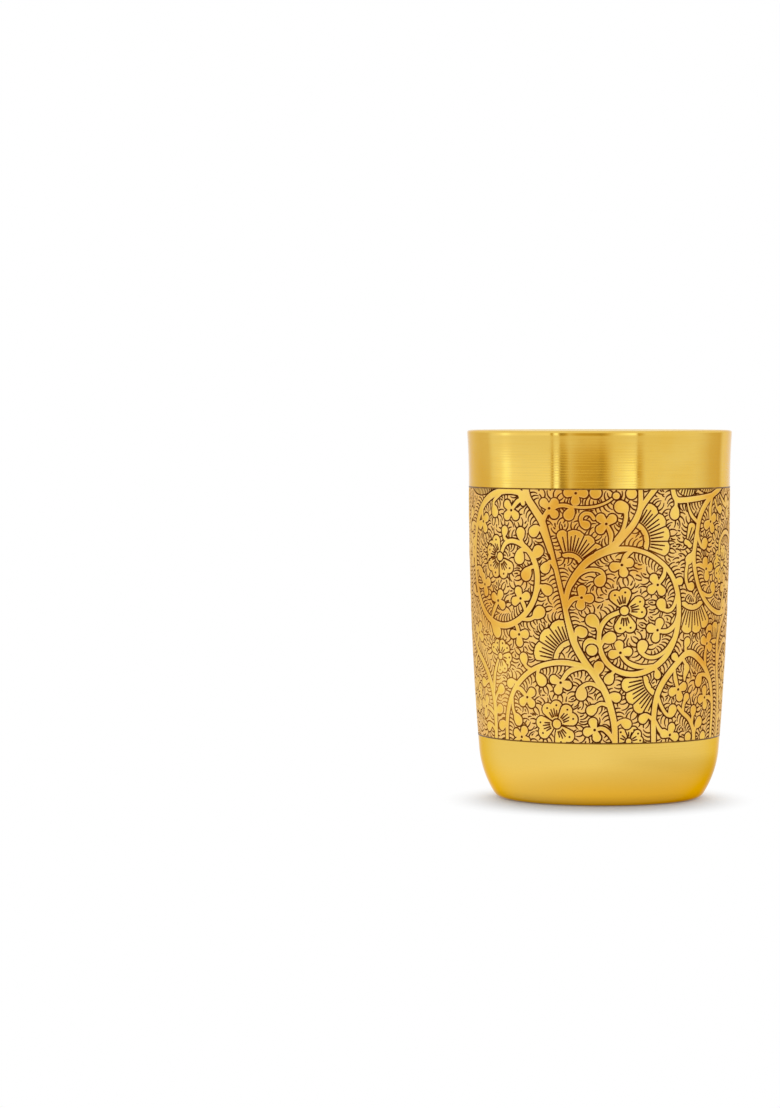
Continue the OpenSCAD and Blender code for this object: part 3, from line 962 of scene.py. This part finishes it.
def blurred(field, times):
    # Each pass takes the mean of a cell and its neighbours, round the panel and up it
    for k in range(times):
        field = (np.roll(field, 1, 1) + 2 * field + np.roll(field, -1, 1)) / 4
        tall = np.vstack([field[:1], field, field[-1:]])
        field = (tall[:-2] + 2 * tall[1:-1] + tall[2:]) / 4
    return field


def drawOrnament(o, h):
    # Painted from the back: fans, leaves, petals, stems with buds, drops and trefoils, berries, flowers' middles.
    # Lac fills the outlines, the cut lines, and the curled strokes in the ground between the motifs.
    panel = Panel(o)
    line = o["outline"]
    petals = [(u, z, size, a) for u, z, size, directions in flowers for a in directions]
    middles = [dot(u, z, size * o["flowerMiddle"]) for u, z, size, directions in flowers]
    vine = [blade(points, widths) for widths, points in stems]
    vine += [budBlade(size, points) for size, points in buds]
    vine += [blade(points, [*o["dropHalves"], size]) for size, points in drops]
    vine += [b for t in trefoils for b in trefoilBlades(*t)]
    fanLayers, petalLayers = [fanBlades(*f) for f in fans], [petalBlades(*petal) for petal in petals]
    leafLayer, berryLayers = [leafBlade(*leaf) for leaf in leaves], [[dot(*berry)] for berry in berries]
    for layer in (*fanLayers, leafLayer, *petalLayers, vine, *berryLayers, middles):
        panel.lay(layer)

    under = [cut for f in fans for cut in fanCuts(*f)]
    under += [cut for leaf in leaves for cut in leafCuts(*leaf)]
    under += [cut for petal in petals for cut in petalCuts(*petal)]
    cuts = [dot(u, z, o["trefoilDot"]) for u, z, a, stalk in trefoils]
    covered = (panel.distance(vine + middles) < line) | (panel.gap > 0)
    cutGap = np.minimum(panel.distance(cuts), np.where(covered, o["far"], panel.distance(under)))

    everything = sum(fanLayers, []) + vine + middles
    everything += [b for layer in berryLayers for b in (layer[0], layer[0][::-1])]  # rails round both ends
    everything += sum(petalLayers, [])
    hatch = soft(-panel.distance(hatchStrokes(panel, everything, o, h)), o["softness"])
    hatch *= soft(panel.gap - line, o["hatchSoft"])
    around, height = np.meshgrid(panel.u, panel.z)
    drift = wander(around, height, o["panelLength"], o["driftSeed"])
    rim = soft(line / 2 * (1 + o["outlineVary"] * drift) - np.abs(panel.gap - line / 2), o["softness"])
    lac = np.maximum(np.maximum(rim, hatch), soft(-cutGap, o["softness"]))

    def spots(marks):
        # Sum of round patches that fade as a bell curve
        total = np.zeros(panel.shape)
        for u, z, size, strength in marks:
            away = (around - u + o["panelLength"] / 2) % o["panelLength"] - o["panelLength"] / 2
            total += strength * np.exp(-(away**2 + (height - z)**2) / size**2)
        return np.clip(total * (1 + o["patchVary"] * drift), 0, 1)
    crown = np.clip(1 + panel.gap / o["crownWidth"], 0, 1)**2  # 1 at the edge of a motif, 0 well inside it
    # painted highlight: a pale rim just outside the lac lines, from a blur of the lac
    haloHighlight = np.clip(o["haloHighlight"] * blurred(lac, 2), 0, 1) * (1 - lac)
    return {"lac": lac, "ground": soft(panel.gap - line, o["groundSoft"]), "patina": spots(tarnish),
            "worn": spots(wear), "crown": crown, "haloHighlight": haloHighlight}


carving = drawOrnament(ornament, hatching)
print("ornament drawn:", carving["lac"].shape, "lac share", round(float(carving["lac"].mean()), 3))


# Etched band: the ornament pressed into eight sectors of the wall
band = {
    "sectors": 8,
    "innerRows": 8,
    "seamHalf": 0.2,
    "seamSoft": 0.08,
    "sharp": 50,
    # where the two walls lie when they are laid flat
    "flatAcross": (0.01, 0.99),
    "flatOuter": (0.05, 0.99),
    "flatInner": (0.005, 0.035),
}
etched = {
    "gold": (0.94, 0.62, 0.14, 1),
    "bright": (0.97, 0.68, 0.11, 1),
    "deepGold": (0.84, 0.42, 0.04, 1),
    "ground": (0.92, 0.56, 0.21, 1),
    "haloTone": (0.99, 0.71, 0.31, 1),
    "stain": (0.40, 0.14, 0.004, 1),
    "lac": (0.05, 0.010, 0.0004, 1),
    "redLac": (0.125, 0.020, 0.0006, 1),
    "solder": (0.70, 0.53, 0.26, 1),
    "edge": (0.88, 0.66, 0.36, 1),
    # noises: scale and detail
    "clouds": (70.0, 3.0),
    "grain": (900.0, 2.0),
    # smooth steps: where each begins and ends, and how far it goes
    "cloudBright": (0.3, 0.55),
    "cloudDeep": (0.45, 0.7, 0.4),
    "grainGround": (0.4, 0.65, 0.5),
    "stained": (0.02, 0.5),
    "filled": (0.35, 0.95),
    # shares
    "groundLeast": 0.2,
    "groundPatina": 0.6,
    "groundWorn": 0.8,
    "haloMost": 0.85,
    "haloPatina": 0.5,
    "lacWorn": 0.6,
    # roughness: plain, more in the grain, in the lac and in the ground
    "rough": (0.3, 0.12, 0.2, 0.06),
    "grainBump": (0.4, 0.02 * mm),
    "coat": 0.4,
    "coatRough": 0.2,
}


def etchedBrass(e):
    # Gold on the motifs with patches of deeper gold, a coppery ground, and dark lac in the cuts,
    # stained beside them, and a painted highlight just outside, where the cut edges catch light
    material, f = newMaterial("etchedBrass")
    place = f.place()
    cloud, fine = f.noise(place, *e["clouds"]), f.noise(place, *e["grain"])
    lac, ground, seam, edge = [f.attribute(name) for name in ("lac", "ground", "seam", "haloHighlight")]
    patina, worn, crown = [f.attribute(name) for name in ("patina", "worn", "crown")]
    # brighter, yellower middles of the motifs in clouds: partly random tone, partly a painted highlight on their domed
    # tops
    tone = f.mix((1 - crown) * f.ramp(cloud, *e["cloudBright"]), e["gold"], e["bright"])
    tone = f.mix((f.ramp(cloud, *e["cloudDeep"]) + patina).maths("MINIMUM", 1.0), tone, e["deepGold"])
    coppery = ground * (e["groundLeast"] + f.ramp(fine, *e["grainGround"]))
    coppery = coppery * (1 - e["groundPatina"] * patina) * (1 - e["groundWorn"] * worn)
    tone = f.mix(coppery, tone, e["ground"])
    # painted highlight beside the cuts, weaker under the patina
    tone = f.mix(e["haloMost"] * edge * (1 - e["haloPatina"] * patina), tone, e["haloTone"])
    tone = f.mix(seam, tone, e["solder"])
    filled = lac * (1 - e["lacWorn"] * worn)
    tone = f.mix(f.ramp(filled, *e["stained"]), tone, e["stain"])
    tone = f.mix(f.ramp(filled, *e["filled"]), tone, f.mix(patina, e["lac"], e["redLac"]))
    plain, inGrain, inLac, inGround = e["rough"]
    rough = plain + inGrain * fine + inLac * lac + inGround * ground
    f.metal(fine, *e["grainBump"], {
        "Base Color": tone, "Metallic": 1.0, "Roughness": rough, "Specular Tint": e["edge"],
        "Coat Weight": e["coat"] - e["coat"] * lac, "Coat Roughness": e["coatRough"]})
    return material


def bandSector(number, b, o, c, material):
    # Outer wall: the barrel's radius less the depth of the cuts; inner wall a sleeve's thickness beneath; both joined
    columns = 2 * o["columns"] // b["sectors"] + 1
    rows, innerRows = o["rows"], b["innerRows"]
    first = o["columns"] // 2 + number * (columns - 1) - (columns - 1) // 2
    index = (first + np.arange(columns)) % o["columns"]
    angle = -np.pi / 2 + (first + np.arange(columns) - o["columns"] / 2) * np.pi / o["columns"]
    z = np.linspace(o["lowZ"], o["highZ"], rows)
    fromBack = np.abs((angle - np.pi / 2 + np.pi) % (2 * np.pi) - np.pi) * c["mouthD"] / 2
    seam = np.repeat(soft(b["seamHalf"] - fromBack, b["seamSoft"])[None, :], rows, 0)
    field = {name: values[:, index] * (1 - seam) for name, values in carving.items()}
    cut = field["lac"]
    low = np.maximum(o["groundDepth"] * field["ground"], o["crown"] * field["crown"])
    radius = shape.radius(z)[:, None] - o["cutDepth"] * cut - low * (1 - cut)
    innerZ = np.linspace(o["lowZ"], o["highZ"], innerRows)
    innerR = shape.radius(innerZ, c["sleeveT"])[:, None]
    points = np.vstack([turned(radius, z, angle), turned(innerR, innerZ, angle)]) * mm
    inner = rows * columns
    s = np.arange(columns - 1)
    lowFaces = np.column_stack([s + 1, s, inner + s, inner + s + 1])
    top, innerTop = (rows - 1) * columns, inner + (innerRows - 1) * columns
    highFaces = np.column_stack([top + s, top + s + 1, innerTop + s + 1, innerTop + s])
    up, innerUp = np.arange(rows) * columns, inner + np.arange(innerRows) * columns
    side = np.concatenate([up, innerUp[::-1]])
    outerFaces, innerFaces = [gridFaces(*at, columns, columns - 1) for at in ((0, rows), (inner, innerRows))]
    faces = [outerFaces, innerFaces[:, ::-1], lowFaces, highFaces, side[None, :], (side + columns - 1)[None, ::-1]]
    mesh = makeMesh(f"bandSector{number + 1}", points, faces, b["sharp"])
    for name, values in {**field, "seam": seam}.items():
        addValues(mesh, name, np.concatenate([values.reshape(-1), np.zeros(innerRows * columns)]))

    def flat(height, count):
        across, up = np.meshgrid(np.linspace(*b["flatAcross"], columns), np.linspace(*height, count))
        return np.column_stack([across.ravel(), up.ravel()])
    corners = np.empty(len(mesh.loops), np.int32)
    mesh.loops.foreach_get("vertex_index", corners)
    laid = np.vstack([flat(b["flatOuter"], rows), flat(b["flatInner"], innerRows)])
    mesh.uv_layers.new(name="OFBake").uv.foreach_set("vector", laid[corners].astype(np.float32).ravel())
    nodes = ["engraved_sleeve", "sleeve_seam"] if (seam > 0).any() else ["engraved_sleeve"]
    addPiece(f"bandSector{number + 1}", mesh, "etched_brass", material, *nodes)


etchedFinish = etchedBrass(etched)
for number in range(band["sectors"]):
    bandSector(number, band, ornament, cupForm, etchedFinish)
print("band sectors made:", band["sectors"])


# The two border lines and the hidden solder keep their solids and get their own finishes
trim = {
    # name, plain tone, worn tone, metallic
    "lac": ("darkLac", (0.19, 0.085, 0.012, 1), (0.42, 0.22, 0.04, 1), 0.9),
    "solder": ("hardSolder", (0.62, 0.52, 0.33, 1), (0.42, 0.35, 0.24, 1), 1.0),
    "clouds": (260.0, 3.0),
    "worn": (0.5, 0.75),
    "rough": 0.35,
    "cloudRough": 0.1,
    "bump": (0.3, 0.02 * mm),
}


def trimFinish(t, name, first, second, metallic):
    # Two tones mixed by a fine cloudy noise, which also roughens the surface
    material, f = newMaterial(name)
    cloud = f.noise(f.place(), *t["clouds"])
    f.metal(cloud, *t["bump"], {
        "Base Color": f.mix(f.ramp(cloud, *t["worn"]), first, second), "Metallic": metallic,
        "Roughness": t["rough"] + t["cloudRough"] * cloud})
    return material


lacFinish, solderFinish = trimFinish(trim, *trim["lac"]), trimFinish(trim, *trim["solder"])
for nodeName, finish in {"upper_border_line": lacFinish, "lower_border_line": lacFinish,
                         "solder_film": solderFinish}.items():
    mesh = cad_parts[nodeName].data
    mesh.materials.clear()
    mesh.materials.append(finish)
print("trim finished")
